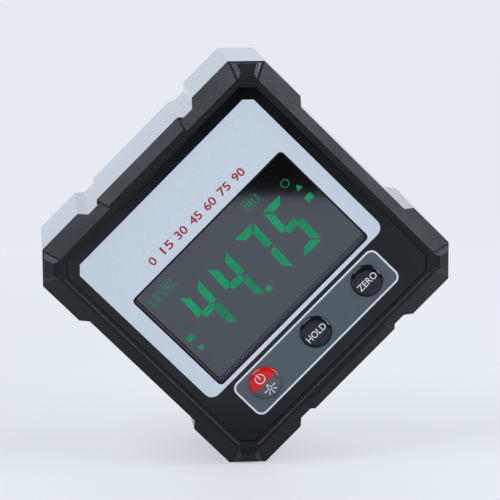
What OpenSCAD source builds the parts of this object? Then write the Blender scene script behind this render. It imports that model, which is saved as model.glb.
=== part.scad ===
// Digital angle gauge: a square magnetic inclinometer with a bevelled front,
// a backlit display, three keys and two AAA cells behind a cover in the back.
// Drawn flat, face up (x right, y up the face, z towards the viewer), then
// stood on its lower corner flat with the face towards -Y.

/* [Body] */
// Side of the square over its corner bumpers
body_side = 60; // [59:0.5:68]
// Depth from the front rim to the back face
body_depth = 30; // [29:0.5:36]
// Leg of the corner chamfer
corner_cut = 5; // [4:0.25:6.5]
// Inner end of a corner bumper, from the middle of its side
bumper_end = 15.4; // [14.5:0.1:17]
// Depth of the plain wall below the bumpers
wall_drop = 1.4; // [1:0.1:1.8]
// Length of the middle pad on the base and on the top
pad_length = 21.7; // [16:0.1:23]
// Height of the middle pad above the plain wall
pad_height = 0.8; // [0.3:0.05:0.9]
// Thickness of the side walls
wall = 1.8; // [1.6:0.1:2.2]
// Thickness of the back wall
back_wall = 2; // [1.8:0.1:2.4]
// Front rim to the joint line between the housings
split_depth = 12; // [11:0.5:14]

/* [Front face] */
// Width of the front bevel, seen from the front
bevel_run = 3.4; // [2.8:0.1:4]
// Depth of the front bevel
bevel_depth = 2.8; // [2:0.1:3.4]
// Width of the bevel on the middle pads
pad_bevel_run = 2.2; // [1.6:0.05:2.3]
// Depth of the bevel on the middle pads
pad_bevel_depth = 2.2; // [1.8:0.1:2.6]
// Size of the chamfer round the back
rear_bevel = 1.8; // [1:0.1:2.4]
// Width of the flat rim inside the bevel
rim_width = 1.3; // [1:0.1:1.8]
// Height of the rim above the printed panel
rim_height = 0.8; // [0.6:0.05:1.2]
// Height of each of the two steps on a corner bevel
step_height = 0.3; // [0.1:0.02:0.34]
// Depth of the ledge along the inside of the rim
ledge_depth = 0.25; // [0.15:0.05:0.4]
// Thickness of the printed panel
overlay_t = 0.5; // [0.3:0.05:0.8]
// Thickness of the plate behind the panel
plate_t = 2; // [1.6:0.1:2.4]

/* [Display] */
// Width of the display window
window_width = 40.2; // [34:0.1:42]
// Height of the display window
window_height = 23.9; // [20:0.1:25]
// Distance of the window's middle below the middle of the face
window_low = 0.45; // [0:0.05:1.5]
// Corner radius of the window
window_r = 0.8; // [0.4:0.1:1.5]
// Width of the ledge that carries the lens
window_ledge = 0.3; // [0.2:0.05:0.8]
// Thickness of the lens
lens_t = 1.1; // [0.9:0.05:1.2]
// Thickness of the display glass
lcd_t = 2.2; // [1.8:0.1:2.6]
// Thickness of the light guide
guide_t = 2.2; // [1.8:0.1:2.8]
// Width of a rubber contact strip
strip_width = 2; // [1.4:0.1:2.4]

/* [Keys] */
// Diameter of a key
key_d = 6.2; // [5:0.1:6.6]
// Distance between keys
key_pitch = 13.8; // [12:0.1:15]
// Height of the key domes above the panel
key_height = 0.5; // [0.3:0.05:0.6]
// Travel of a key
key_travel = 0.3; // [0.2:0.05:0.4]
// Side of a key switch
switch_side = 4.5; // [4:0.1:5]

/* [Board and screws] */
// Thickness of the circuit board
board_t = 1.6; // [1:0.1:2]
// Diameter of a housing screw
screw_d = 2.2; // [2:0.1:2.6]
// Length of a housing screw under its head
screw_length = 14; // [12:0.5:16]
// Diameter of a board screw
board_screw_d = 2; // [1.6:0.1:2.2]

/* [Cells and magnets] */
// Diameter of a cell
cell_d = 10.5; // [10.1:0.1:10.6]
// Length of a cell
cell_length = 44.5; // [44:0.1:44.9]
// Length of a contact spring under load
spring_length = 4.7; // [4.2:0.1:5]
// Thickness of the battery cover
cover_t = 1.55; // [1.3:0.05:1.6]
// Diameter of a base magnet
magnet_d = 8; // [6:0.5:9]
// Thickness of a base magnet
magnet_t = 2.5; // [1.5:0.1:2.6]

/* [Hidden] */
$fn = 64;

// Hairline clearances: seated pieces, sliding keys, swinging cover
seat_gap = 0.1;
slide_gap = 0.1;
cover_gap = 0.2;
over = 1;

// Outline of the body
half = body_side / 2;
wall_level = half - wall_drop;
pad_level = wall_level + pad_height;
corner_r = (body_side - corner_cut) / sqrt(2);
stand_h = corner_r;
far = 2 * body_side;

// Levels along the depth
rim_n = body_depth / 2;
back_n = -body_depth / 2;
edge_n = rim_n - bevel_depth;
pad_edge_n = rim_n - pad_bevel_depth;
rear_edge_n = back_n + rear_bevel;
split_n = rim_n - split_depth;
panel_n = rim_n - rim_height;
seat_n = panel_n - overlay_t;
plate_n = seat_n - plate_t;
lcd_back_n = plate_n - lcd_t;
board_n = lcd_back_n - guide_t;
board_back_n = board_n - board_t;
back_in_n = back_n + back_wall;

// Insets of the concentric octagons from the bumper faces
cavity_in = wall_drop + wall;
lip_t = 1.05;
lip_height = 1.5;
lip_root = 2;
lip_out_in = cavity_in + 0.15;
lip_in = lip_out_in + lip_t;
recess_in = bevel_run + rim_width;
ledge_in = bevel_run + 0.65 * rim_width;
board_in = lip_in + seat_gap;

// Housing bosses and posts
boss_d = 5.6;
post_d = 7.2;
boss_gap = 0.7;
boss_at = (corner_sum(lip_in) - sqrt(2) * (boss_d / 2 + boss_gap)) / 2;
boss_places = [for (x = [-1, 1]) for (y = [-1, 1]) [x * boss_at, y * boss_at]];
screw_grip = 5;
screw_tip_n = split_n + screw_grip;
screw_seat_n = screw_tip_n - screw_length;
screw_head_d = 1.8 * screw_d;
screw_head_h = 0.7 * screw_d;

// Display stack
lens_front = seat_gap;
lens_seat_n = panel_n - lens_front - lens_t;
view_w = window_width - 2 * window_ledge;
view_h = window_height - 2 * window_ledge;
lcd_w = window_width + 2.8;
guide_h = window_height + 0.1;
strip_gap = 0.2;
strip_at = guide_h / 2 + strip_gap + strip_width / 2;
lcd_h = 2 * (strip_at + strip_width / 2 + seat_gap);
guide_w = window_width + 1;
strip_length = lcd_w - 3;

// Keys and switches
flange_d = key_d + 0.8;
flange_t = 0.8;
flange_n = plate_n - 0.05;
key_low = window_low + lcd_h / 2 + 0.2 + flange_d / 2;
key_places = [for (i = [-1, 0, 1]) [i * key_pitch, -key_low]];
stem_d = 3;
plunger_d = 2.4;
switch_h = 2.2;
switch_n = board_n + switch_h;
plunger_n = switch_n + 0.7;
plunger_deep_n = switch_n - 1.1;
switch_floor_n = plunger_deep_n - key_travel - 0.2;

// Board
board_cut_sum = 2 * boss_at - (boss_d / 2 + 0.5) * sqrt(2);
board_half = half - board_in;
board_leg = 2 * board_half - board_cut_sum;
board_boss_d = 4;
board_screw_length = 5;
chip_side = 7;
chip_t = 1.4;
lead_pitch = 0.8;
chip_place = [-0.28 * board_half, 0.2 * board_half];
sensor_side = 3.2;
sensor_place = [0.32 * board_half, 0.12 * board_half];
crystal_place = [-0.28 * board_half, -0.16 * board_half];
cap_length = 1.6;
cap_pitch = 4;
cap_places = [for (i = [0:3]) [i * cap_pitch, -0.2 * board_half]];
board_screw_places = [
    [-key_pitch, key_low + 1.5], [key_pitch, key_low + 1.5],
    [-key_pitch / 2, -key_low - 3.5], [key_pitch / 2, -key_low - 3.5]
];

// Battery bay
contact_t = 0.4;
contact_side = 9;
bay_half = (cell_length + spring_length) / 2 + contact_t;
cell_at = cell_d / 2 + 0.35;
bay_side_half = cell_at + cell_d / 2 + 0.15;
bay_wall = 1.4;
rebate_n = back_n + cover_t + 0.05;
cell_play = 0.7;
cell_n = rebate_n + cell_play + cell_d / 2;
floor_n = cell_n + cell_d / 2;
floor_t = 1.2;
opening_half = bay_half - 0.6;
opening_side_half = bay_side_half + 1;
cover_half = opening_half - cover_gap;
cover_side_half = opening_side_half - cover_gap;
tongue_reach = 0.45;
tongue_w = 2.2;
tongue_t = 0.8;
tongue_at = bay_side_half - tongue_w / 2 - cover_gap;
tail_w = 2.5;
tail_slot_w = tail_w + 0.5;
tail_gap = 0.3;
tail_at = half - lip_in - 2 * tail_gap;
foot_from = -max(bay_half, tail_at);
foot_to = contact_t - min(bay_half, tail_at);

// Base magnets
magnet_at = (bumper_end + half - corner_cut) / 2;
magnet_n = split_n - 8;

function octagon_leg(inset) = corner_cut - inset * (2 - sqrt(2));
function corner_sum(inset) = 2 * (half - inset) - octagon_leg(inset);
function turned(p, a) = [p[0] * cos(a) - p[1] * sin(a), p[0] * sin(a) + p[1] * cos(a)];

// One side of the outline: bumper, slope, plain wall, slope, bumper
function side_points() = [
    [half, corner_cut - half],
    [half, -bumper_end],
    [wall_level, wall_drop - bumper_end],
    [wall_level, bumper_end - wall_drop],
    [half, bumper_end],
    [half, half - corner_cut]
];

module stand() {
    translate([0, 0, stand_h])
        rotate([90, 0, 0])
            rotate([0, 0, 45])
                children();
}

module slab(n0, n1) {
    translate([0, 0, n0])
        linear_extrude(n1 - n0)
            children();
}

module rod(d, n0, n1) {
    translate([0, 0, n0])
        cylinder(d = d, h = n1 - n0);
}

module block(x0, x1, y0, y1, n0, n1) {
    translate([x0, y0, n0])
        cube([x1 - x0, y1 - y0, n1 - n0]);
}

module at_each(places) {
    for (p = places)
        translate([p[0], p[1], 0])
            children();
}

module octagon(h, leg) {
    polygon([
        [h, leg - h], [h, h - leg], [h - leg, h], [leg - h, h],
        [-h, h - leg], [-h, leg - h], [leg - h, -h], [h - leg, -h]
    ]);
}

module inset_octagon(inset) {
    octagon(half - inset, octagon_leg(inset));
}

module ring(outer, inner, n0, n1) {
    difference() {
        slab(n0, n1) inset_octagon(outer);
        slab(n0 - over, n1 + over) inset_octagon(inner);
    }
}

module rounded(w, h, r) {
    square([w - 2 * r, h], center = true);
    square([w, h - 2 * r], center = true);
    for (x = [-1, 1])
        for (y = [-1, 1])
            translate([x * (w / 2 - r), y * (h / 2 - r)])
                circle(r);
}

module outline() {
    polygon([for (a = [0:90:270]) for (p = side_points()) turned(p, a)]);
}

// Middle pad of the top side
module pad_outline() {
    end = pad_length / 2;
    inner = half - bevel_run;
    polygon([
        [-end - pad_height, wall_level], [-end, pad_level], [end, pad_level],
        [end + pad_height, wall_level], [end, inner], [-end, inner]
    ]);
}

// Everything on the far side of a plane through a point
module beyond(place, facing) {
    translate(place)
        rotate([0, acos(facing[2] / norm(facing)), atan2(facing[1], facing[0])])
            translate([-far / 2, -far / 2, 0])
                cube(far);
}

// Bevelled top of the middle pad; its ends slope outwards to the bevel beside it
module pad_top() {
    end = pad_length / 2;
    difference() {
        intersection() {
            block(-half, half, half - bevel_run, pad_level, pad_edge_n, rim_n);
            across(90) front_section(pad_level, pad_bevel_run, pad_edge_n);
        }
        for (x = [-1, 1])
            beyond([x * end, pad_level, pad_edge_n], [x, 0.46, 0.8]);
    }
}

// Prism across the body at an angle, its section drawn as (distance, depth)
module across(a) {
    rotate([0, 0, a])
        rotate([90, 0, 0])
            translate([0, 0, -far / 2])
                linear_extrude(far)
                    children();
}

module front_section(reach, run, low_n) {
    polygon([
        [-reach, split_n], [reach, split_n], [reach, low_n],
        [reach - run, rim_n], [run - reach, rim_n], [-reach, low_n]
    ]);
}

module rear_section(reach) {
    polygon([
        [reach, split_n], [-reach, split_n], [-reach, rear_edge_n],
        [rear_bevel - reach, back_n], [reach - rear_bevel, back_n], [reach, rear_edge_n]
    ]);
}

module front_block() {
    intersection() {
        slab(split_n, rim_n) outline();
        across(0) front_section(half, bevel_run, edge_n);
        across(90) front_section(half, bevel_run, edge_n);
        across(45) front_section(corner_r, bevel_run, edge_n);
        across(-45) front_section(corner_r, bevel_run, edge_n);
    }
    for (a = [0, 180])
        rotate([0, 0, a]) {
            slab(split_n, pad_edge_n) pad_outline();
            pad_top();
        }
    for (a = [45:90:315])
        rotate([0, 0, a]) corner_steps();
}

module rear_block() {
    intersection() {
        slab(back_n, split_n) outline();
        across(0) rear_section(half);
        across(90) rear_section(half);
        across(45) rear_section(corner_r);
        across(-45) rear_section(corner_r);
    }
    for (a = [0, 180])
        rotate([0, 0, a])
            intersection() {
                slab(back_n, split_n) pad_outline();
                across(90) rear_section(pad_level);
            }
}

// Two nested steps raised on a corner bevel
module corner_steps() {
    long = sqrt(bevel_run * bevel_run + bevel_depth * bevel_depth);
    w0 = corner_cut / sqrt(2);
    w1 = octagon_leg(bevel_run) / sqrt(2);
    slope = (w1 - w0) / long;
    translate([corner_r, 0, edge_n])
        rotate([180, atan2(-bevel_depth, -bevel_run), 0]) {
            corner_step(0.08 * long, 0.9 * long, w0 - 0.55, slope, 0);
            corner_step(0.16 * long, 0.79 * long, w0 - 0.96, slope, step_height);
        }
}

// One step whose sides lean in; they start at a level above the bevel
module corner_step(s0, s1, w, slope, level) {
    wa = w + slope * s0;
    wb = w + slope * s1;
    base = [[s0, -wa], [s1, -wb], [s1, wb], [s0, wa]];
    difference() {
        translate([0, 0, -over])
            linear_extrude(over + level + step_height)
                polygon(base);
        for (i = [0:3]) {
            a = base[i];
            b = base[(i + 1) % 4];
            translate([a[0], a[1], level])
                rotate([50, 0, atan2(b[1] - a[1], b[0] - a[0])])
                    translate([-far / 2, -far / 2, 0])
                        cube(far);
        }
    }
}

// Shallow octagonal cut with sloping sides along the inside of the rim
module rim_ledge() {
    intersection() {
        across(0) ledge_section(half - ledge_in);
        across(90) ledge_section(half - ledge_in);
        across(45) ledge_section(corner_r - ledge_in);
        across(-45) ledge_section(corner_r - ledge_in);
    }
}

module ledge_section(reach) {
    low_n = rim_n - ledge_depth;
    rise = ledge_depth + over;
    polygon([[-reach, low_n], [reach, low_n], [reach + rise, low_n + rise], [-reach - rise, low_n + rise]]);
}

module front_housing() {
    color("#2b2d31")
        difference() {
            union() {
                difference() {
                    front_block();
                    slab(split_n - over, plate_n) inset_octagon(cavity_in);
                }
                at_each(boss_places) rod(boss_d, split_n, plate_n + 0.5);
                at_each(board_screw_places) rod(board_boss_d, board_n, plate_n + 0.5);
            }
            slab(seat_n, rim_n + over) inset_octagon(recess_in);
            rim_ledge();
            translate([0, -window_low, 0]) {
                slab(lens_seat_n, seat_n + over) rounded(window_width, window_height, window_r);
                slab(plate_n - over, lens_seat_n + over) rounded(view_w, view_h, window_r);
            }
            at_each(key_places) rod(key_d + 2 * slide_gap, plate_n - over, seat_n + over);
            at_each(boss_places) rod(screw_d + 0.1, split_n - over, screw_tip_n + 1.5);
            at_each(board_screw_places)
                rod(board_screw_d + 0.1, board_n - over, board_back_n + board_screw_length + 0.3);
        }
}

module rear_housing() {
    color("#2b2d31")
        difference() {
            union() {
                difference() {
                    rear_block();
                    slab(back_in_n, split_n + over) inset_octagon(cavity_in);
                }
                ring(lip_out_in, lip_in, split_n - lip_root, split_n + lip_height);
                ring(cavity_in - 0.5, lip_in, split_n - lip_root, split_n);
                at_each(boss_places) rod(post_d, back_in_n - 0.5, split_n);
                bay_box();
            }
            block(-bay_half, bay_half, -bay_side_half, bay_side_half, rebate_n - 0.01, floor_n);
            slab(back_n - over, rebate_n)
                rounded(2 * opening_half, 2 * opening_side_half, 1);
            tail_slots();
            translate([opening_half, 0, 0]) rod(8, back_n - over, back_n + 0.9);
            at_each(boss_places) {
                rod(screw_d + 0.4, screw_seat_n - over, split_n + over);
                rod(screw_head_d + 1, back_n - over, screw_seat_n);
            }
            for (x = [-1, 1])
                translate([x * magnet_at, -half, magnet_n])
                    rotate([-90, 0, 0])
                        translate([0, 0, -over])
                            cylinder(d = magnet_d + 2 * seat_gap, h = magnet_t + 0.1 + over);
        }
}

module bay_box() {
    reach = half - cavity_in + 0.5;
    side = opening_side_half + bay_wall;
    block(-reach, reach, -side, side, back_in_n - 0.5, floor_n + floor_t);
}

// Grooves in the bay floor for the feet of the contacts, and slots for their tails
module tail_slots() {
    for (y = [-1, 1]) {
        low = y * cell_at - tail_slot_w / 2;
        high = y * cell_at + tail_slot_w / 2;
        block(foot_from, foot_to + tail_gap, low, high, floor_n - seat_gap,
              floor_n + contact_t + seat_gap);
        block(-tail_at, contact_t + tail_gap - tail_at, low, high, floor_n - seat_gap,
              floor_n + floor_t + over);
    }
}

module face_overlay() {
    color("#22262a")
        difference() {
            slab(seat_n, panel_n) inset_octagon(recess_in + seat_gap);
            translate([0, -window_low, 0])
                slab(seat_n - over, panel_n + over)
                    rounded(window_width, window_height, window_r);
            at_each(key_places) rod(key_d + 2 * slide_gap, seat_n - over, panel_n + over);
        }
}

module display_window() {
    color("#55595f")
        translate([0, -window_low, 0])
            slab(lens_seat_n, lens_seat_n + lens_t)
                rounded(window_width - 2 * seat_gap, window_height - 2 * seat_gap,
                        window_r - seat_gap);
}

// Two sheets of glass: the rear sheet is shorter at the sides
module lcd_glass() {
    color("#3d4248")
        translate([0, -window_low, 0]) {
            block(-lcd_w / 2, lcd_w / 2, -lcd_h / 2, lcd_h / 2, lcd_back_n, plate_n - lcd_t / 2);
            block(-lcd_w / 2 + 0.6, lcd_w / 2 - 0.6, -lcd_h / 2 + 0.1, lcd_h / 2 - 0.1,
                  plate_n - lcd_t / 2, plate_n);
        }
}

// The guide has a notch for the lamp in its left edge
module light_guide() {
    color("#e8ecee")
        translate([0, -window_low, 0])
            difference() {
                block(-guide_w / 2, guide_w / 2, -guide_h / 2, guide_h / 2, board_n, lcd_back_n);
                block(-guide_w / 2 - over, -guide_w / 2 + 1.2, -1.7, 1.7,
                      board_n - over, lcd_back_n + over);
            }
}

module backlight_led() {
    color("#f3f1dc")
        translate([-guide_w / 2, -window_low, 0]) {
            block(0, 1.1, -1.5, 1.5, board_n, board_n + 1.2);
            block(0.2, 1.1, -1.1, 1.1, board_n + 1.2, board_n + 1.6);
        }
}

module zebra_strips() {
    color("#9aa0a6")
        translate([0, -window_low, 0])
            for (y = [-1, 1])
                block(-strip_length / 2, strip_length / 2, y * strip_at - strip_width / 2,
                      y * strip_at + strip_width / 2, board_n, lcd_back_n);
}

module main_board() {
    color("#1f6a3f")
        difference() {
            slab(board_back_n, board_n) octagon(board_half, board_leg);
            at_each(board_screw_places) rod(board_screw_d + 0.2, board_back_n - over, board_n + over);
        }
}

// Flat pack with seven leads on each side
module processor_chip() {
    color("#1c1d1f")
        translate([chip_place[0], chip_place[1], board_back_n]) {
            c = chip_side / 2;
            block(-c, c, -c, c, -chip_t, -chip_t / 7);
            for (a = [0:90:270])
                rotate([0, 0, a])
                    for (i = [-3:1:3])
                        block(0.91 * c, 1.26 * c, (i - 0.19) * lead_pitch, (i + 0.19) * lead_pitch,
                              -0.36 * chip_t, 0);
        }
}

module tilt_sensor() {
    color("#2a2b2e")
        translate([sensor_place[0], sensor_place[1], board_back_n])
            difference() {
                c = sensor_side / 2;
                block(-c, c, -c, c, -1, 0);
                translate([-0.62 * c, 0.62 * c, -1]) rod(0.38 * c, -0.2, 0.15);
            }
}

module crystal() {
    color("#c9ccd0")
        translate([crystal_place[0], crystal_place[1], board_back_n]) {
            block(-1.6, 1.6, -0.75, 0.75, -0.5, 0);
            block(-1.4, 1.4, -0.6, 0.6, -0.8, -0.5);
        }
}

module board_capacitors() {
    color("#b08a5a")
        at_each(cap_places)
            translate([0, 0, board_back_n]) {
                c = cap_length / 2;
                block(-c / 2, c / 2, -c, c, -c, 0);
            }
}

module key_switches() {
    color("#30343a")
        at_each(key_places)
            difference() {
                block(-switch_side / 2, switch_side / 2, -switch_side / 2, switch_side / 2,
                      board_n, switch_n);
                rod(plunger_d + 0.1, switch_floor_n, switch_n + over);
            }
}

// Embossed top with a sloping shoulder, shaft through the plate, flange behind it and a stem
module key_body() {
    r = key_d / 2;
    shoulder = [[0, 0], [0.1, 0.3], [0.26, 0.58], [0.46, 0.8], [0.7, 0.92], [1.1, 0.97], [1.8, 0.99]];
    dome = concat(
        [for (p = shoulder) [r - p[0], panel_n + key_height * p[1]]],
        [[0, panel_n + key_height]]
    );
    rotate_extrude()
        polygon(concat(
            [
                [0, plunger_n], [stem_d / 2, plunger_n], [stem_d / 2, flange_n - flange_t],
                [flange_d / 2, flange_n - flange_t], [flange_d / 2, flange_n], [r, flange_n]
            ],
            dome
        ));
}

module plunger() {
    rod(plunger_d, plunger_deep_n, plunger_n);
}

module power_key() {
    color("#d71c16")
        translate(key_places[0]) key_body();
}

module hold_key() {
    color("#212427")
        translate(key_places[1]) key_body();
}

module zero_key() {
    color("#212427")
        translate(key_places[2]) key_body();
}

module power_plunger() {
    color("#8a2a24")
        translate(key_places[0]) plunger();
}

module hold_plunger() {
    color("#8a2a24")
        translate(key_places[1]) plunger();
}

module zero_plunger() {
    color("#8a2a24")
        translate(key_places[2]) plunger();
}

// Pan-head screw with a cross slot, head at the back, seat at z = 0
module screw(d, length, head_d, head_h) {
    difference() {
        union() {
            rod(d, -0.1, length);
            rod(head_d, -head_h, 0);
        }
        for (a = [0, 90])
            rotate([0, 0, a])
                block(-head_d * 0.3, head_d * 0.3, -0.25, 0.25, -head_h - over, -head_h * 0.4);
    }
}

module board_screws() {
    color("#b9bdc2")
        at_each(board_screw_places)
            translate([0, 0, board_back_n])
                screw(board_screw_d, board_screw_length, 1.8 * board_screw_d, 0.6 * board_screw_d);
}

module housing_screws() {
    color("#b9bdc2")
        at_each(boss_places)
            translate([0, 0, screw_seat_n])
                screw(screw_d, screw_length, screw_head_d, screw_head_h);
}

module base_magnets() {
    color("#c4c7cb")
        for (x = [-1, 1])
            translate([x * magnet_at, -half + 0.1, magnet_n])
                rotate([-90, 0, 0])
                    cylinder(d = magnet_d, h = magnet_t);
}

// Plate with tongues at the hinge end, a latch leg and grip grooves at the other
module battery_cover() {
    tongue_top = back_n + cover_t + 0.15;
    color("#2b2d31")
        difference() {
            union() {
                slab(back_n, back_n + cover_t)
                    rounded(2 * cover_half, 2 * cover_side_half, 0.8);
                for (y = [-1, 1])
                    translate([0, y * tongue_at, 0]) {
                        block(-cover_half + 0.1, -cover_half + 1.2, -tongue_w / 2, tongue_w / 2,
                              back_n + 0.5, tongue_top + tongue_t);
                        block(-opening_half - tongue_reach, -cover_half + 1.2, -tongue_w / 2,
                              tongue_w / 2, tongue_top, tongue_top + tongue_t);
                    }
                block(cover_half - 1.6, cover_half - 0.7, -1, 1, back_n + 0.5, back_n + cover_t + 2.6);
            }
            for (i = [0:3])
                block(cover_half - 3 - 1.6 * i, cover_half - 2.2 - 1.6 * i, -5, 5,
                      back_n - over, back_n + 0.35);
        }
}

// Cell along +x with its plain end at the origin
module cell() {
    r = cell_d / 2;
    rotate([0, 90, 0])
        rotate_extrude()
            polygon([
                [0, 0], [r - 0.7, 0], [r, 0.5], [r, cell_length - 1.4],
                [r - 0.5, cell_length - 0.8], [1.9, cell_length - 0.8],
                [1.9, cell_length], [0, cell_length]
            ]);
}

module upper_cell() {
    color("#3f6f9c")
        translate([bay_half - contact_t - cell_length, cell_at, cell_n])
            cell();
}

module lower_cell() {
    color("#3f6f9c")
        translate([contact_t + cell_length - bay_half, -cell_at, cell_n])
            rotate([0, 0, 180])
                cell();
}

// Contact plate against the left end of the bay, with a foot and a tail to the board
module tailed_contact(y) {
    low = y - tail_w / 2;
    high = y + tail_w / 2;
    block(-bay_half, contact_t - bay_half, y - contact_side / 2, y + contact_side / 2,
          cell_n - contact_side / 2, cell_n + contact_side / 2);
    block(-bay_half, contact_t - bay_half, low, high, cell_n, floor_n + contact_t);
    block(foot_from, foot_to, low, high, floor_n, floor_n + contact_t);
    block(-tail_at, contact_t - tail_at, low, high, floor_n, board_back_n);
}

module positive_contact() {
    color("#c8b98a")
        tailed_contact(-cell_at);
}

module negative_contact() {
    color("#c8b98a")
        tailed_contact(cell_at);
}

module bridge_contact() {
    color("#c8b98a")
        block(bay_half - contact_t, bay_half, -cell_at - contact_side / 2, cell_at + contact_side / 2,
              cell_n - contact_side / 2, cell_n + contact_side / 2);
}

// Conical coil along +x: flat first and last turns, even pitch between
module coil(length, r0, r1, wire, turns) {
    steps = 16 * turns;
    sides = 6;
    flat = 0.16;
    function along(t) = min(1, max(0, (t - flat) / (1 - 2 * flat)));
    function ring(i, j) =
        let (t = i / steps)
        let (x = wire / 2 + (length - wire) * along(t))
        let (r = r0 + (r1 - r0) * t)
        let (a = 360 * turns * t)
        let (b = 360 * j / sides)
        let (q = r + wire / 2 * cos(b))
        [x + wire / 2 * sin(b), q * cos(a), q * sin(a)];
    points = [for (i = [0:steps]) for (j = [0:sides - 1]) ring(i, j)];
    skin = [
        for (i = [0:steps - 1]) for (j = [0:sides - 1])
            let (k = (j + 1) % sides)
            [i * sides + j, i * sides + k, (i + 1) * sides + k, (i + 1) * sides + j]
    ];
    first = [for (j = [sides - 1:-1:0]) j];
    last = [for (j = [0:sides - 1]) steps * sides + j];
    polyhedron(points, concat(skin, [first, last]), convexity = 8);
}

module negative_spring() {
    color("#d0d2d4")
        translate([contact_t - bay_half, cell_at, cell_n])
            coil(spring_length, 3.8, 2.4, 0.6, 4);
}

module bridge_spring() {
    color("#d0d2d4")
        translate([bay_half - contact_t, -cell_at, cell_n])
            rotate([0, 0, 180])
                coil(spring_length, 3.8, 2.4, 0.6, 4);
}

stand() front_housing();
stand() rear_housing();
stand() face_overlay();
stand() display_window();
stand() lcd_glass();
stand() light_guide();
stand() backlight_led();
stand() zebra_strips();
stand() main_board();
stand() processor_chip();
stand() tilt_sensor();
stand() crystal();
stand() board_capacitors();
stand() key_switches();
stand() power_key();
stand() hold_key();
stand() zero_key();
stand() power_plunger();
stand() hold_plunger();
stand() zero_plunger();
stand() board_screws();
stand() housing_screws();
stand() base_magnets();
stand() battery_cover();
stand() upper_cell();
stand() lower_cell();
stand() positive_contact();
stand() negative_contact();
stand() negative_spring();
stand() bridge_contact();
stand() bridge_spring();
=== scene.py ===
import math

import bmesh
import bpy
from mathutils import Matrix, Vector
from mathutils.geometry import intersect_line_line_2d, tessellate_polygon


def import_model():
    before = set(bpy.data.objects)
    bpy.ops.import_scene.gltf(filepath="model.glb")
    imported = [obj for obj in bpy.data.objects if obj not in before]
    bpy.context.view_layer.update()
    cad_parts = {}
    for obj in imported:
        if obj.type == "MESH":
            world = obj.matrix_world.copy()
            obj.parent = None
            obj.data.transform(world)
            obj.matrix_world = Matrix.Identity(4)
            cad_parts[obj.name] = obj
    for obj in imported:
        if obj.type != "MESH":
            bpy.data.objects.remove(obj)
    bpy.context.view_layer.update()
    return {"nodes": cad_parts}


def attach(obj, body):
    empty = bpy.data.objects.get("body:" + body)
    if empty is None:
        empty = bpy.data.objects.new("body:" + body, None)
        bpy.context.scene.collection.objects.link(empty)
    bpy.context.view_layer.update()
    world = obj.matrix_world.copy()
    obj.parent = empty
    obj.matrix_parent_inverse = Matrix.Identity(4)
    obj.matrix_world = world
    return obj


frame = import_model()
nodes = frame["nodes"]
scene = bpy.context.scene
scene.view_settings.view_transform = "Standard"

# The face is drawn flat in millimetres: u to the right, v up, n out of the face.
# It stands on its lower corner, so u and v lie at 45 degrees.
MM = 0.001
ROOT = math.sqrt(2)
# Height of the middle of the face, and the fronts of the panel and the display glass
STAND = 55 / ROOT
PANEL = 14.2
GLASS = 11.7
# Keys: places on the face, radius and rise over the panel
KEYS = {"power_key": -13.8, "hold_key": 0.0, "zero_key": 13.8}
KEY_V = -18.45
KEY_R = 3.1
KEY_RISE = 0.5
# Shoulder of a key: distance in from its edge, share of its rise
SHOULDER = (
    (0, 0), (0.1, 0.3), (0.26, 0.58), (0.46, 0.8),
    (0.7, 0.92), (1.1, 0.97), (1.8, 0.99), (3.1, 1),
)


def world(u, v, n):
    """Point of the frame, in metres, at a place on the face."""
    return Vector(((u - v) / ROOT, -n, (u + v) / ROOT + STAND)) * MM


def on_face(point):
    """Place on the face of a point of the frame."""
    x, y, z = point / MM
    z -= STAND
    return (x + z) / ROOT, (z - x) / ROOT, -y


# Camera
LENS = 190.9
SENSOR = 36
VIEW_RIGHT = Vector((0.9963, -0.0863, -0.0036)).normalized()
VIEW_BACK = Vector((-0.0844, -0.9809, 0.1752)).normalized()
# It stands off a point behind the middle of the panel: to the side, up and back
VIEW_MIDDLE = Vector((0, -12.2, STAND))
VIEW_SIDE, VIEW_LIFT, VIEW_DISTANCE = 0.59, 2.7, 506.1


def camera():
    """Long lens, a little to the left of the face and above it."""
    data = bpy.data.cameras.new("camera")
    data.lens = LENS
    data.sensor_width = SENSOR
    data.clip_start = 0.01
    up = VIEW_BACK.cross(VIEW_RIGHT).normalized()
    right = up.cross(VIEW_BACK)
    place = VIEW_MIDDLE + right * VIEW_SIDE + up * VIEW_LIFT + VIEW_BACK * VIEW_DISTANCE
    turn = Matrix((right, up, VIEW_BACK)).transposed().to_4x4()
    obj = bpy.data.objects.new("camera", data)
    obj.matrix_world = Matrix.Translation(place * MM) @ turn
    scene.collection.objects.link(obj)
    scene.camera = obj


camera()


# Materials
# Sockets of a mix node by the kind of value: share, first, second, result
MIX_SOCKETS = {"RGBA": (0, 6, 7, 2), "FLOAT": (0, 2, 3, 0)}
# Most of a noise lies in this range
NOISE_LOW, NOISE_HIGH = 0.3, 0.7


def srgb(r, g, b):
    """Linear colour from screen values of 0 to 255."""
    out = []
    for c in (r, g, b):
        c /= 255
        out.append(c / 12.92 if c <= 0.04045 else ((c + 0.055) / 1.055) ** 2.4)
    return (*out, 1)


def scaled(colour, share):
    """Colour made darker or lighter."""
    return (*(min(1, c * share) for c in colour[:3]), 1)


def on_axis(mm):
    """Value of Material.along at a distance from the middle of the face."""
    return (mm * ROOT + STAND) * MM


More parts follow.
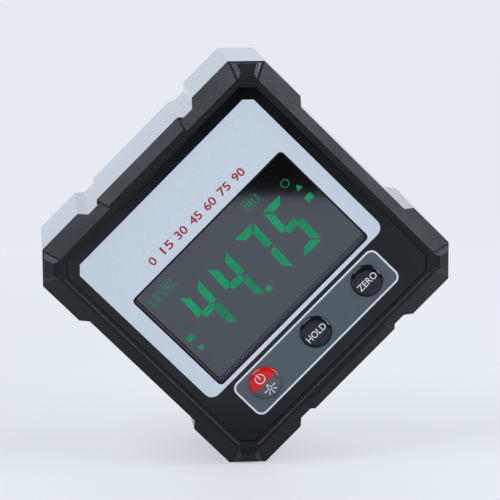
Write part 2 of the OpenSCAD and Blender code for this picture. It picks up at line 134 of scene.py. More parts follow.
class Nodes:
    """Short calls that build a node tree."""

    def __init__(self, tree):
        self.tree = tree

    def node(self, kind, **values):
        """New node; a value goes to the input of that name, or else to the setting."""
        n = self.tree.nodes.new(kind)
        for key, value in values.items():
            if key in n.inputs:
                n.inputs[key].default_value = value
            else:
                setattr(n, key, value)
        return n

    def link(self, a, b):
        self.tree.links.new(a, b)

    def feed(self, value, socket):
        """Links an output to a socket, or sets a plain value there."""
        if hasattr(value, "links"):
            self.link(value, socket)
        else:
            socket.default_value = value

    def calc(self, operation, a, b=0.0):
        n = self.node("ShaderNodeMath", operation=operation)
        self.feed(a, n.inputs[0])
        self.feed(b, n.inputs[1])
        return n.outputs[0]

    def ramp(self, fac, low, high, a, b):
        """Goes from a to b while fac goes from low to high."""
        n = self.node("ShaderNodeMapRange")
        n.inputs["From Min"].default_value = low
        n.inputs["From Max"].default_value = high
        n.inputs["To Min"].default_value = a
        n.inputs["To Max"].default_value = b
        self.link(fac, n.inputs["Value"])
        return n.outputs[0]

    def mix(self, fac, a, b, kind="RGBA"):
        n = self.node("ShaderNodeMix", data_type=kind)
        *inputs, result = MIX_SOCKETS[kind]
        for i, value in zip(inputs, (fac, a, b)):
            self.feed(value, n.inputs[i])
        return n.outputs[result]


class Material(Nodes):
    """A Principled material with object coordinates for its procedural detail."""

    def __init__(self, name, colour, rough, **sockets):
        self.mat = bpy.data.materials.new(name)
        self.mat.use_nodes = True
        super().__init__(self.mat.node_tree)
        self.bsdf = self.tree.nodes["Principled BSDF"]
        self.colour = colour
        self.rough = rough
        self.set("Base Color", colour)
        self.set("Roughness", rough)
        for key, value in sockets.items():
            self.set(key.replace("_", " "), value)
        self.coords = self.node("ShaderNodeTexCoord").outputs["Object"]

    def set(self, socket, value):
        self.feed(value, self.bsdf.inputs[socket])

    def noise(self, size_mm, detail=3.0, rough=0.55, stretch=None):
        n = self.node("ShaderNodeTexNoise", Scale=1 / (size_mm * MM), Detail=detail, Roughness=rough)
        place = self.coords
        if stretch:
            mapping = self.node("ShaderNodeMapping", Scale=stretch)
            self.link(place, mapping.inputs["Vector"])
            place = mapping.outputs[0]
        self.link(place, n.inputs["Vector"])
        return n.outputs["Fac"]

    def spread(self, fac, a=0, b=1):
        """Goes from a to b over the range of a noise."""
        return self.ramp(fac, NOISE_LOW, NOISE_HIGH, a, b)

    def along(self, axis):
        """Value that grows along u or v of the face."""
        n = self.node("ShaderNodeSeparateXYZ")
        self.link(self.coords, n.inputs[0])
        operation = {"u": "ADD", "v": "SUBTRACT"}[axis]
        return self.calc(operation, n.outputs["Z"], n.outputs["X"])

    def tint(self, fac, amount):
        """Base colour drifts a little lighter and darker."""
        dark, pale = scaled(self.colour, 1 - amount), scaled(self.colour, 1 + amount)
        self.set("Base Color", self.mix(self.spread(fac), dark, pale))

    def vary_rough(self, fac, amount):
        self.set("Roughness", self.spread(fac, self.rough - amount, self.rough + amount))

    def bump(self, fac, depth_mm):
        n = self.node("ShaderNodeBump", Strength=1.0, Distance=depth_mm * MM)
        self.link(fac, n.inputs["Height"])
        self.set("Normal", n.outputs[0])


def moulded(name, colour, rough, grain, depth, amount=0.12, gloss=0.06, **sockets):
    """Moulded plastic: fine spark-eroded grain, drifting gloss and tone."""
    m = Material(name, colour, rough, **sockets)
    m.tint(m.noise(0.5, 2.0), amount)
    m.vary_rough(m.noise(7.0, 3.0), gloss)
    m.bump(m.noise(grain, 2.0, 0.6), depth)
    return m.mat


def metal(name, colour, rough, stretch=(1, 1, 14)):
    """Plated or drawn metal: fine lines across the stretched axis."""
    m = Material(name, colour, rough, Metallic=1.0)
    m.tint(m.noise(3.0), 0.08)
    m.vary_rough(m.noise(1.2, 4.0, 0.6, stretch), 0.1)
    m.bump(m.noise(0.25, 3.0, 0.6, stretch), 0.006)
    return m.mat


def printed(name, colour, rough, amount=0.05, **sockets):
    """Screen print: faint mesh speckle in tone and gloss."""
    m = Material(name, colour, rough, **sockets)
    m.tint(m.noise(0.35, 3.0), amount)
    m.vary_rough(m.noise(4.0), 0.05)
    m.bump(m.noise(0.2, 2.0), 0.003)
    return m.mat


def lens_material():
    """Clear sheet with the faintest tint; the glass behind it gives the gloss."""
    m = Material("clear_lens", srgb(40, 44, 50), 0.05, Alpha=0.01)
    m.tint(m.noise(6.0, 5.0), 0.1)
    m.vary_rough(m.noise(6.0, 5.0), 0.03)
    m.bump(m.noise(9.0, 1.0), 0.002)
    return m.mat


def lcd_material():
    """Dark glass with a painted glow: faint all over, brighter along its lower and left edges,
    standing in for light on the display.
    """
    m = Material(
        "display_glass", srgb(11, 12, 14), 0.05,
        IOR=2.06, Specular_Tint=PAINTED_COOL_LIGHT, Emission_Strength=1.0,
    )
    m.tint(m.noise(5.0), 0.15)
    m.vary_rough(m.noise(3.0, 4.0), 0.01)
    m.bump(m.noise(12.0, 1.0), 0.002)
    # Painted light: the glow grows towards the lower and left edges of the glass.
    low = m.ramp(m.along("v"), on_axis(-11.84), on_axis(-11.6), 1, 0)
    left = m.ramp(m.along("u"), on_axis(-19.78), on_axis(-19.64), 1, 0)
    edge = m.calc("MAXIMUM", low, left)
    m.set("Emission Color", m.mix(edge, srgb(5, 5, 6), srgb(50, 54, 59)))
    return m.mat


def segment_material(name, colour):
    """Lit part of the display, a little uneven."""
    m = Material(name, (0, 0, 0, 1), 0.8, Specular_IOR_Level=0.0, Emission_Strength=1.0)
    tone = m.spread(m.noise(4.0, 2.0))
    m.set("Emission Color", m.mix(tone, scaled(colour, 0.86), scaled(colour, 1.12)))
    return m.mat


def two_colour_key():
    """Red above the middle line of the key, grey below."""
    m = Material("power_key", srgb(206, 14, 12), 0.14, Specular_IOR_Level=0.42)
    split, seam = on_axis(KEY_V), 0.03 * MM
    side = m.ramp(m.along("v"), split - seam, split + seam, 0, 1)
    tone = m.spread(m.noise(0.5))
    red = m.mix(tone, srgb(202, 12, 10), srgb(214, 18, 15))
    grey = m.mix(tone, srgb(74, 83, 92), srgb(82, 91, 100))
    m.set("Base Color", m.mix(side, grey, red))
    m.vary_rough(m.noise(3.0), 0.03)
    m.bump(m.noise(0.6, 2.0), 0.001)
    return m.mat


def board_material():
    """Green board with a fine raster."""
    green = srgb(24, 88, 52)
    m = Material("circuit_board", green, 0.38)
    brick = m.node(
        "ShaderNodeTexBrick", Scale=260.0,
        Color1=green, Color2=srgb(34, 108, 64), Mortar=srgb(18, 66, 40),
    )
    brick.inputs["Mortar Size"].default_value = 0.03
    m.link(m.coords, brick.inputs["Vector"])
    m.set("Base Color", brick.outputs["Color"])
    m.vary_rough(m.noise(2.0), 0.06)
    m.bump(brick.outputs["Fac"], 0.02)
    return m.mat


def cell_material():
    """Plain jacket with a bare steel band at each end."""
    m = Material("cell_jacket", srgb(52, 84, 118), 0.32)
    off = m.calc("ABSOLUTE", m.calc("SUBTRACT", m.along("u"), on_axis(0)))
    end = m.ramp(off, 28.8 * MM, 28.85 * MM, 0, 1)
    jacket = m.mix(m.spread(m.noise(2.0)), srgb(48, 78, 110), srgb(58, 92, 128))
    m.set("Base Color", m.mix(end, jacket, srgb(186, 188, 190)))
    m.set("Metallic", m.ramp(end, 0, 1, 0, 0.9))
    m.vary_rough(m.noise(1.5), 0.06)
    m.bump(m.noise(1.0), 0.004)
    return m.mat


def strip_material():
    """Rubber strip with fine conducting layers."""
    m = Material("zebra_strip", srgb(150, 154, 160), 0.6)
    wave = m.node("ShaderNodeTexWave", Scale=900.0, Distortion=0.4)
    m.link(m.coords, wave.inputs["Vector"])
    m.set("Base Color", m.mix(wave.outputs["Fac"], srgb(120, 124, 130), srgb(168, 172, 176)))
    m.vary_rough(m.noise(2.0), 0.06)
    m.bump(m.noise(0.4), 0.01)
    return m.mat


def guide_material():
    """Milky plate behind the display."""
    m = Material("light_guide", srgb(226, 232, 236), 0.35)
    m.tint(m.noise(1.0), 0.03)
    m.vary_rough(m.noise(2.0), 0.06)
    m.bump(m.noise(0.5), 0.01)
    return m.mat


BLACK = srgb(17, 18, 23)
# Painted light: a cool tint on the gloss stands in for the cool colour of the light.
PAINTED_COOL_LIGHT = (0.8, 0.88, 1.0, 1)
MATS = {}
MATS["shell"] = moulded(
    "black_textured_plastic", BLACK, 0.46, grain=0.27, depth=0.07, amount=0.3,
    Specular_IOR_Level=0.38, Specular_Tint=PAINTED_COOL_LIGHT,
)
MATS["satin"] = moulded(
    "black_satin_plastic", BLACK, 0.3, grain=0.3, depth=0.01, amount=0.15,
    Specular_IOR_Level=1.0, Specular_Tint=PAINTED_COOL_LIGHT,
)
MATS["wall"] = moulded(
    "black_smooth_plastic", srgb(29, 32, 38), 0.24, grain=14.0, depth=0.002, amount=0.04, gloss=0.02,
    Coat_Weight=1.0, Coat_Roughness=0.12, Coat_IOR=1.7,
)
MATS["film"] = moulded(
    "black_panel_film", srgb(10, 11, 12), 0.2, grain=0.5, depth=0.001, amount=0.05,
    Specular_IOR_Level=0.44, Specular_Tint=PAINTED_COOL_LIGHT,
)
MATS["silver"] = printed("silver_print", srgb(208, 219, 231), 0.5, 0.03, Specular_IOR_Level=0.25)
MATS["grey"] = printed("grey_print", srgb(84, 95, 105), 0.45, Specular_IOR_Level=0.25)
MATS["white"] = printed("white_print", srgb(222, 228, 234), 0.5, 0.03)
MATS["black"] = printed("black_print", srgb(12, 13, 15), 0.45, Specular_IOR_Level=0.25)
MATS["red"] = printed("red_print", srgb(168, 14, 24), 0.45, 0.06)
MATS["rubber"] = moulded(
    "black_key", srgb(15, 16, 18), 0.12, grain=0.8, depth=0.001, amount=0.05, gloss=0.03,
    Specular_Tint=PAINTED_COOL_LIGHT,
)
# Painted light: a mid grey instead of black on the sides of the display opening and the cut edge of
# the panel, standing in for light along the edges of the display.
MATS["edge_painted_light"] = moulded(
    "window_edge_painted_light", srgb(87, 91, 98), 0.6, grain=0.3, depth=0.01, Specular_IOR_Level=0.2
)
MATS["steel"] = metal("zinc_steel", srgb(190, 193, 197), 0.3)
MATS["spring"] = metal("spring_steel", srgb(200, 201, 204), 0.28, (8, 1, 1))
MATS["nickel"] = metal("nickel_plate", srgb(205, 203, 196), 0.22, (1, 6, 1))
MATS["brass"] = metal("contact_plate", srgb(206, 192, 150), 0.3, (1, 10, 1))
MATS["plunger"] = moulded("switch_plunger", srgb(140, 46, 38), 0.4, grain=0.5, depth=0.006)
MATS["switch"] = moulded("switch_body", srgb(52, 56, 62), 0.42, grain=0.4, depth=0.006)
MATS["epoxy"] = moulded("chip_epoxy", srgb(34, 35, 38), 0.55, grain=0.15, depth=0.01)
MATS["lens"] = lens_material()
MATS["lcd"] = lcd_material()
MATS["bright"] = segment_material("display_green", srgb(34, 145, 99))
MATS["weak"] = segment_material("display_green_weak", srgb(38, 128, 93))
MATS["dim"] = segment_material("display_green_dim", srgb(44, 124, 94))
MATS["power"] = two_colour_key()
MATS["board"] = board_material()
MATS["cell"] = cell_material()
MATS["strip"] = strip_material()
MATS["guide"] = guide_material()
MATS["led"] = printed("lamp_epoxy", srgb(236, 226, 150), 0.3)
MATS["ceramic"] = printed("capacitor_ceramic", srgb(176, 140, 96), 0.5, 0.1)


# Finish of the CAD nodes
FINISH = {
    "front_housing": "shell", "rear_housing": "shell", "battery_cover": "shell",
    "face_overlay": "film", "display_window": "lens", "lcd_glass": "lcd",
    "light_guide": "guide", "backlight_led": "led", "zebra_strips": "strip",
    "main_board": "board", "processor_chip": "epoxy", "tilt_sensor": "epoxy",
    "crystal": "nickel", "board_capacitors": "ceramic", "key_switches": "switch",
    "power_key": "power", "hold_key": "rubber", "zero_key": "rubber",
    "power_plunger": "plunger", "hold_plunger": "plunger", "zero_plunger": "plunger",
    "board_screws": "steel", "housing_screws": "steel", "base_magnets": "nickel",
    "upper_cell": "cell", "lower_cell": "cell", "positive_contact": "brass",
    "negative_contact": "brass", "bridge_contact": "brass", "negative_spring": "spring",
    "bridge_spring": "spring",
}
# The walls lie outside these distances from the middle, the second one across corners
WALL_FROM, CORNER_FROM = 28.4, 54.9
# Room round the opening for the display, and the levels of its sides and ledge
OPENING_U, OPENING_V = 22, 14
OPENING_LOW, SIDE_TOP, LEDGE_TOP = 11, 13.2, 13.4
# Steps on the corners: distance across corners, level, lean of their faces
STEP_FROM, STEP_LOW, STEP_LEAN = 50.9, 12.1, 0.3
# A face stands upright if its normal has less than this to the front
UPRIGHT = 0.2
# Edge radii of the shells
SOFT_EDGES = {"front_housing": 0.07, "rear_housing": 0.14, "battery_cover": 0.12}


def upright(normal):
    return abs(normal.y) < UPRIGHT


def near_opening(u, v):
    return abs(u) < OPENING_U and abs(v) < OPENING_V


def outer_wall(u, v, n, normal):
    """The outer side walls are smooth; the bevels and the back are textured."""
    outer = max(abs(u), abs(v)) > WALL_FROM or abs(u) + abs(v) > CORNER_FROM
    return outer and upright(normal)


def opening_side(u, v, n, normal):
    """Sides of the opening round the display, with its ledge."""
    top = SIDE_TOP if upright(normal) else LEDGE_TOP
    return near_opening(u, v) and OPENING_LOW < n < top


def corner_step(u, v, n, normal):
    """Smooth steps on the corners."""
    lean = normal.x if u * v > 0 else normal.z
    return abs(u) + abs(v) > STEP_FROM and n > STEP_LOW and abs(lean) > STEP_LEAN


def cut_edge(u, v, n, normal):
    """Cut edge of the panel round the display."""
    return near_opening(u, v) and upright(normal)


def dress(name):
    """One material for the whole node."""
    mesh = nodes[name].data
    mesh.materials.clear()
    mesh.materials.append(MATS[FINISH[name]])
    for poly in mesh.polygons:
        poly.material_index = 0


def assign(name, mat, wanted):
    """Another material for the faces of a node that are wanted."""
    mesh = nodes[name].data
    slot = len(mesh.materials)
    mesh.materials.append(MATS[mat])
    for poly in mesh.polygons:
        if wanted(*on_face(poly.center), poly.normal):
            poly.material_index = slot


def soften(name, width_mm):
    """Small radius on the moulded edges."""
    obj = nodes[name]
    weld = obj.modifiers.new("weld", "WELD")
    weld.merge_threshold = 1e-6
    flat = obj.modifiers.new("flat", "DECIMATE")
    flat.decimate_type = "DISSOLVE"
    flat.angle_limit = math.radians(1)
    flat.delimit = {"MATERIAL"}
    bevel = obj.modifiers.new("bevel", "BEVEL")
    bevel.width = width_mm * MM
    bevel.segments = 2
    bevel.limit_method = "ANGLE"
    bevel.angle_limit = math.radians(20)
    bevel.harden_normals = True
    bevel.use_clamp_overlap = True


for name in nodes:
    dress(name)
assign("front_housing", "wall", outer_wall)
assign("rear_housing", "wall", outer_wall)
# The sides of the display opening and the cut edge of the panel take that painted light grey.
assign("front_housing", "edge_painted_light", opening_side)
assign("front_housing", "satin", corner_step)
assign("face_overlay", "edge_painted_light", cut_edge)
for name, width in SOFT_EDGES.items():
    soften(name, width)


# Flat shapes
def slab(name, shapes, n0, n1, mat, body, height=None):
    """Closed plates from (outline, hole, ...) lists in u and v, between two levels.
    height(u, v) lifts the plate onto a curved surface."""
    bm = bmesh.new()
    for loops in shapes:
        flat = [p for loop in loops for p in loop]
        lift = [height(u, v) if height else 0 for u, v in flat]
        rows = []
        for n in (n0, n1):
            rows.append([bm.verts.new(world(u, v, n + h)) for (u, v), h in zip(flat, lift)])
        for tri in tessellate_polygon([[Vector((u, v, 0)) for u, v in loop] for loop in loops]):
            bm.faces.new([rows[1][i] for i in tri])
            bm.faces.new([rows[0][i] for i in reversed(tri)])
        start = 0
        for loop in loops:
            k = len(loop)
            for i in range(k):
                a, b = start + i, start + (i + 1) % k
                bm.faces.new((rows[0][a], rows[0][b], rows[1][b], rows[1][a]))
            start += k
    bmesh.ops.recalc_face_normals(bm, faces=bm.faces)
    mesh = bpy.data.meshes.new(name)
    bm.to_mesh(mesh)
    bm.free()
    mesh.materials.append(MATS[mat])
    obj = bpy.data.objects.new(name, mesh)
    scene.collection.objects.link(obj)
    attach(obj, body)


def arc(cu, cv, r, a0, a1, steps):
    out = []
    for i in range(steps + 1):
        a = math.radians(a0 + (a1 - a0) * i / steps)
        out.append((cu + r * math.cos(a), cv + r * math.sin(a)))
    return out


def circle(cu, cv, r, steps=40):
    return arc(cu, cv, r, 0, 360, steps)[:-1]


def rounded(u0, v0, u1, v1, r):
    """Box with rounded corners."""
    out = arc(u1 - r, v0 + r, r, -90, 0, 8)
    out += arc(u1 - r, v1 - r, r, 0, 90, 8)
    out += arc(u0 + r, v1 - r, r, 90, 180, 8)
    out += arc(u0 + r, v0 + r, r, 180, 270, 8)
    return out


def inset(box, by):
    """Values of a rounded box that lies inside another one."""
    u0, v0, u1, v1, r = box
    return u0 + by, v0 + by, u1 - by, v1 - by, r - by


def bar(u0, v0, u1, v1, w):
    """Straight stroke of a width between two points, cut so that it can follow a curve."""
    steps = 6
    d = Vector((u1 - u0, v1 - v0)).normalized() * (w / 2)
    line = [(u0 + (u1 - u0) * i / steps, v0 + (v1 - v0) * i / steps) for i in range(steps + 1)]
    return [(u + d.y, v - d.x) for u, v in line] + [(u - d.y, v + d.x) for u, v in reversed(line)]


def band(cu, cv, r, w, a0, a1, steps=32):
    """Part of a ring of a width."""
    return arc(cu, cv, r + w / 2, a0, a1, steps) + arc(cu, cv, r - w / 2, a1, a0, steps)


# Lettering
def lettering(text, u0, u1, v0, v1, weight=0.0):
    """Outlines of a line of text, fitted to a box."""
    curve = bpy.data.curves.new("letters", "FONT")
    curve.body = text
    curve.size = 1.0
    curve.offset = weight
    curve.resolution_u = 5
    obj = bpy.data.objects.new("letters", curve)
    scene.collection.objects.link(obj)
    bpy.context.view_layer.update()
    mesh = obj.evaluated_get(bpy.context.evaluated_depsgraph_get()).to_mesh()
    bm = bmesh.new()
    bm.from_mesh(mesh)
    bmesh.ops.remove_doubles(bm, verts=bm.verts, dist=1e-5)
    loops = [trim(loop) for loop in edge_loops(bm)]
    bm.free()
    bpy.data.objects.remove(obj)
    bpy.data.curves.remove(curve)
    xs = [x for loop in loops for x, y in loop]
    ys = [y for loop in loops for x, y in loop]
    left, low = min(xs), min(ys)
    ku = (u1 - u0) / (max(xs) - left)
    kv = (v1 - v0) / (max(ys) - low)
    fitted = [[(u0 + (x - left) * ku, v0 + (y - low) * kv) for x, y in loop] for loop in loops]
    return nest(fitted)


def edge_loops(bm):
    """Boundary loops of a flat filled mesh."""
    after = {}
    for e in bm.edges:
        if len(e.link_faces) == 1:
            a, b = e.verts
            after.setdefault(a.index, []).append(b.index)
            after.setdefault(b.index, []).append(a.index)
    bm.verts.ensure_lookup_table()
    seen, loops = set(), []
    for first in sorted(after):
        if first in seen:
            continue
        loop, last, at = [], None, first
        while at not in seen:
            seen.add(at)
            loop.append((bm.verts[at].co.x, bm.verts[at].co.y))
            following = [i for i in after[at] if i != last and i not in seen]
            last = at
            if not following:
                break
            at = following[0]
        if len(loop) > 2:
            loops.append(loop)
    return loops


def trim(loop):
    """Cuts off the crossed ends that a weight leaves at sharp corners."""
    i = 0
    while i < len(loop) and len(loop) > 3:
        turned = loop[i:] + loop[:i]
        hit = intersect_line_line_2d(*(Vector(p) for p in turned[:4]))
        if hit:
            loop, i = [turned[0], (hit.x, hit.y)] + turned[3:], 0
        else:
            i += 1
    return loop


def area(loop):
    return 0.5 * sum(a[0] * b[1] - b[0] * a[1] for a, b in zip(loop, loop[1:] + loop[:1]))


def inside(point, loop):
    u, v = point
    hit = False
    for (au, av), (bu, bv) in zip(loop, loop[1:] + loop[:1]):
        crosses = (av > v) != (bv > v)
        if crosses and u < (bu - au) * (v - av) / (bv - av) + au:
            hit = not hit
    return hit


def nest(loops):
    """Groups holes with the outline they lie in."""
    groups = []
    for loop in sorted(loops, key=lambda q: -abs(area(q))):
        for g in groups:
            if inside(loop[0], g[0]) and not any(inside(loop[0], h) for h in g[1:]):
                g.append(loop)
                break
        else:
            groups.append([loop])
    return groups


# Printed panel
# Levels: top of the print, and its underside where it lies on the panel or on the lens
TOP = PANEL + 0.02
ON_PANEL = PANEL - 0.02
ON_LENS = PANEL - 0.12
# Rounded boxes: left, low, right, high, radius
WINDOW = (-20.18, -12.8, 20.12, 11.2, 0.9)
KEY_FIELD = (-19.22, -22.8, 19.04, -14.44, 1.6)
# Widths of the black border and the white line, and the room round a key
WINDOW_BORDER = 0.38
KEY_FIELD_LINE = 0.36
KEY_ROOM = 0.035
# Number row: middle of the first number, pitch, levels, half widths by the count of figures
NUMBERS = ("0", "15", "30", "45", "60", "75", "90")
NUMBER_FIRST, NUMBER_PITCH = -11.9, 3.85
NUMBER_LOW, NUMBER_HIGH = 12.85, 14.55
NUMBER_HALF = {1: 0.62, 2: 1.3}
NUMBER_WEIGHT = 0.016


def window_prints():
    """Silver field with cut upper corners, and the black border round its window."""
    field = [(-23.45, 21.64), (-23.45, -11.7)]
    field += arc(-21.55, -11.69, 1.9, 180, 270, 8)[1:]
    field += arc(21.45, -11.69, 1.9, 270, 360, 8)
    field += [(23.35, 21.64), (21.85, 23.14), (-21.95, 23.14)]
    window = rounded(*WINDOW)
    clear = rounded(*inset(WINDOW, WINDOW_BORDER))
    slab("silver_field", [[field, window]], ON_LENS, TOP, "silver", "gauge_body")
    slab("window_border", [[window, clear]], ON_LENS, TOP, "black", "gauge_body")


def key_prints():
    """Grey field round the keys, with a white line round it."""
    outline = rounded(*KEY_FIELD)
    inner = rounded(*inset(KEY_FIELD, KEY_FIELD_LINE))
    holes = [circle(u, KEY_V, KEY_R + KEY_ROOM, 64) for u in KEYS.values()]
    slab("key_field", [[inner] + holes], ON_PANEL, TOP, "grey", "gauge_body")
    slab("key_field_outline", [[outline, inner]], ON_PANEL, TOP + 0.005, "white", "gauge_body")


def number_row():
    """Row of degree numbers above the window."""
    marks = []
    for i, text in enumerate(NUMBERS):
        mid = NUMBER_FIRST + NUMBER_PITCH * i
        half = NUMBER_HALF[len(text)]
        marks += lettering(text, mid - half, mid + half, NUMBER_LOW, NUMBER_HIGH, NUMBER_WEIGHT)
    slab("scale_numbers", marks, PANEL, TOP + 0.012, "red", "gauge_body")


window_prints()
key_prints()
number_row()


# Key legends
LEGEND_LOW, LEGEND_HIGH = -19.2, -17.86
LEGEND_WEIGHT = 0.004
POWER_SIGN = (-13.95, -17.1)
LAMP_SIGN = (-13.87, -19.72)


def dome(key):
    """Height of a key's surface over the panel, as a function of the place."""

    def height(u, v):
        d = max(0.0, KEY_R - math.hypot(u - KEYS[key], v - KEY_V))
        for (d0, h0), (d1, h1) in zip(SHOULDER, SHOULDER[1:]):
            if d <= d1:
                return KEY_RISE * (h0 + (h1 - h0) * (d - d0) / (d1 - d0))
        return KEY_RISE

    return height


def legend(key, name, shapes):
    """White print that follows the surface of a key and moves with it."""
    slab(name, shapes, PANEL - 0.05, PANEL + 0.03, "white", key, dome(key))


def word(text, left, right):
    return lettering(text, left, right, LEGEND_LOW, LEGEND_HIGH, LEGEND_WEIGHT)


def power_sign(u, v):
    """Open ring with a bar at its top."""
    return [[band(u, v, 0.92, 0.17, 115, 425)], [bar(u, v - 0.14, u, v + 1.12, 0.18)]]


def lamp_sign(u, v):
    """Bulb with its cap above it, and rays round its lower side."""
    shapes = [
        [band(u, v, 0.38, 0.16, -242, 62, 24)],
        [bar(u - 0.19, v + 0.28, u - 0.15, v + 0.8, 0.14)],
        [bar(u + 0.19, v + 0.28, u + 0.15, v + 0.8, 0.14)],
        [bar(u - 0.22, v + 0.8, u + 0.22, v + 0.8, 0.16)],
        [bar(u - 0.17, v + 0.6, u + 0.17, v + 0.6, 0.1)],
    ]
    for angle in (180, 225, 270, 315, 0):
        du, dv = math.cos(math.radians(angle)), math.sin(math.radians(angle))
        shapes.append([bar(u + 0.7 * du, v + 0.7 * dv, u + 1.4 * du, v + 1.4 * dv, 0.19)])
    return shapes


legend("hold_key", "hold_legend", word("HOLD", -2.36, 2.2))
legend("zero_key", "zero_legend", word("ZERO", 11.5, 15.98))
legend("power_key", "power_legend", power_sign(*POWER_SIGN))
legend("power_key", "lamp_legend", lamp_sign(*LAMP_SIGN))


# Display
# Figures: left of the first one, pitch, width, bar thickness, gap, levels and lean
FIRST, PITCH = -14.28, 7.57
WIDE, THICK, GAP = 5.0, 1.44, 0.17
LOW, MIDDLE, HIGH = -7.03, -1.06, 4.82
LEAN = 0.63 / 11.85
# Bars that are lit in each figure
FIGURES = ("bfg", "bfg", "abc", "acdfg")
DEGREE = (16.09, 5.64)


def digit(left, lit):
    """Mitred bars of a figure, leaning a little; left is the lower left corner."""
    t, g, w = THICK, GAP, WIDE
    h, m = HIGH - LOW, MIDDLE - LOW
    e = t / 2
    bars = {
        "a": [(1.4 * g, h), (w - 1.4 * g, h), (w - t - g, h - t), (t + g, h - t)],
        "b": [(w, h - 2 * g), (w, m + 0.6 * e), (w - e, m + 2 * g),
              (w - t, m + e + g), (w - t, h - t - 1.6 * g)],
        "c": [(w, m - 0.6 * e), (w, 2 * g), (w - t, t + 1.6 * g),
              (w - t, m - e - g), (w - e, m - 2 * g)],
        "d": [(1.4 * g, 0), (t + g, t), (w - t - g, t), (w - 1.4 * g, 0)],
        "f": [(0, h - 2 * g), (t, h - t - 1.6 * g), (t, m + e + g),
              (e, m + 2 * g), (0, m + 0.6 * e)],
        "g": [(e + g, m), (t - 0.1, m + e), (w - t + 0.1, m + e),
              (w - e - g, m), (w - t + 0.1, m - e), (t - 0.1, m - e)],
    }
    return [[[(left + x + LEAN * y, LOW + y) for x, y in bars[k]]] for k in lit]


def display(name, shapes, mat):
    """Lit shapes on the front of the display glass."""
    slab(name, shapes, GLASS - 0.02, GLASS + 0.03, mat, "gauge_body")


def angle_figures():
    """44.75, with its point."""
    shapes = []
    for i, lit in enumerate(FIGURES):
        shapes += digit(FIRST + PITCH * i, lit)
    shapes.append([[(-1.1, -6.97), (0.04, -6.97), (0.09, -5.94), (-1.05, -5.94)]])
    display("angle_figures", shapes, "bright")


def weak_bars():
    """Lower right bars of the first two figures and the left square, lit more weakly."""
    shapes = digit(FIRST, "c") + digit(FIRST + PITCH, "c")
    shapes.append([rounded(-18.51, -2.98, -16.96, -1.76, 0.15)])
    display("weak_bars", shapes, "weak")


def tilt_arrows():
    """Arrow and square on the right, arrow on the left."""
    display("tilt_arrows", [
        [[(16.67, 2.83), (18.05, 2.83), (17.37, 3.93)]],
        [rounded(16.64, -0.17, 18.24, 1.06, 0.15)],
        [[(-18.31, -4.75), (-17.69, -5.87), (-17.05, -4.75)]],
    ], "bright")


def battery_mark():
    """Frame with four bars in it and two contacts at its end."""
    shapes = [[rounded(7.09, 6.83, 10.39, 8.83, 0.1), rounded(7.18, 6.92, 10.3, 8.74, 0.08)]]
    for u in (7.44, 8.06, 8.68, 9.3):
        shapes.append([[(u, 7.23), (u + 0.36, 7.23), (u + 0.4, 8.43), (u + 0.04, 8.43)]])
    shapes.append([rounded(10.44, 7.28, 10.76, 7.65, 0.05)])
    shapes.append([rounded(10.44, 8.03, 10.76, 8.4, 0.05)])
    display("battery_mark", shapes, "dim")


angle_figures()
weak_bars()
display("degree_mark", [[circle(*DEGREE, 0.84), circle(*DEGREE, 0.7)]], "bright")
tilt_arrows()
display("level_word", lettering("LEVEL", -18.15, -11.6, 6.62, 8.6), "dim")
battery_mark()


# Stage, in metres
PALE = srgb(230, 235, 241)
FLOOR_HALF = 6
LIGHT_AIM = Vector((0, 0, 0.04))


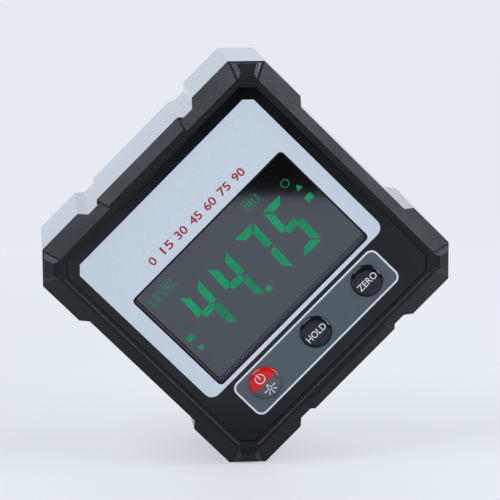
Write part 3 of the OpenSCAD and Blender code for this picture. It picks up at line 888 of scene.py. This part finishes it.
def floor_material():
    """Pale floor that fades into the backdrop; a painted shadow darkens its glow to the left of the
    gauge and behind it.
    In reflections a painted shade darkens it under the gauge, and it ends a little way in front of
    it."""
    m = Material("pale_floor", srgb(222, 227, 233), 0.36, Specular_IOR_Level=0.2)
    m.tint(m.noise(60.0, 2.0), 0.01)
    place = m.node("ShaderNodeNewGeometry").outputs["Position"]

    def distance(point):
        n = m.node("ShaderNodeVectorMath", operation="DISTANCE")
        m.link(place, n.inputs[0])
        n.inputs[1].default_value = point
        return n.outputs["Value"]

    def cover(share, below, above):
        n = m.node("ShaderNodeMixShader")
        for socket, value in zip(n.inputs, (share, below, above)):
            m.link(value, socket)
        return n.outputs[0]

    far = distance((0, 0, 0))
    glow = m.node("ShaderNodeEmission", Strength=1.0)
    # Painted shadow: the floor's glow turns darker to the left of the gauge and behind it.
    painted_shadow = m.ramp(distance((-0.1, 0.06, 0)), 0.02, 0.17, 1, 0)
    m.link(m.mix(painted_shadow, PALE, srgb(219, 223, 231)), glow.inputs["Color"])
    lit = cover(m.ramp(far, 0.06, 0.3, 0.62, 1), m.bsdf.outputs[0], glow.outputs[0])
    axes = m.node("ShaderNodeSeparateXYZ")
    m.link(place, axes.inputs[0])
    front = m.ramp(axes.outputs["Y"], -0.346, -0.333, 1, 0)
    # Painted shade: in reflections the floor near the gauge turns black, and so does the floor past
    # its front end.
    under = m.ramp(far, 0.045, 0.08, 0.45, 0)
    glossy = m.node("ShaderNodeLightPath").outputs["Is Glossy Ray"]
    unlit = m.calc("MULTIPLY", glossy, m.calc("MAXIMUM", front, under))
    dark = m.node("ShaderNodeBsdfDiffuse", Color=(0, 0, 0, 1)).outputs[0]
    out = next(n for n in m.tree.nodes if n.type == "OUTPUT_MATERIAL")
    m.link(cover(unlit, lit, dark), out.inputs["Surface"])
    return m.mat


def floor():
    s = FLOOR_HALF
    mesh = bpy.data.meshes.new("floor")
    mesh.from_pydata([(-s, -s, 0), (s, -s, 0), (s, s, 0), (-s, s, 0)], [], [(0, 1, 2, 3)])
    mesh.materials.append(floor_material())
    obj = bpy.data.objects.new("floor", mesh)
    scene.collection.objects.link(obj)


def light(name, place, size, power):
    """Square soft box that faces the gauge."""
    data = bpy.data.lights.new(name, "AREA")
    data.size = size
    data.energy = power
    obj = bpy.data.objects.new(name, data)
    obj.location = place
    obj.rotation_euler = (LIGHT_AIM - Vector(place)).to_track_quat("-Z", "Y").to_euler()
    scene.collection.objects.link(obj)
    return obj


def sky():
    """Pale backdrop. Gloss sees it behind the gauge and a dark room in front."""
    w = bpy.data.worlds.new("sky")
    scene.world = w
    w.use_nodes = True
    t = Nodes(w.node_tree)
    back = t.tree.nodes["Background"]
    path = t.node("ShaderNodeLightPath").outputs
    seen = t.calc("MAXIMUM", path["Is Camera Ray"], path["Is Transmission Ray"])
    plain = t.ramp(seen, 0, 1, 0.38, 1)
    way = t.node("ShaderNodeSeparateXYZ")
    t.link(t.node("ShaderNodeTexCoord").outputs["Generated"], way.inputs[0])
    behind = t.ramp(way.outputs["Y"], -0.1, 0.5, 0.1, 1.08)
    glossy = path["Is Glossy Ray"]
    t.link(t.mix(glossy, plain, behind, "FLOAT"), back.inputs["Strength"])
    t.link(t.mix(glossy, PALE, srgb(226, 235, 246)), back.inputs["Color"])


floor()
light("left_box", (-0.82, -0.29, 0.82), 0.85, 10)
light("right_box", (0.96, -0.3, 0.69), 0.85, 10)
light("back_box", (0, 1.1, 0.9), 0.9, 6).visible_glossy = False
sky()
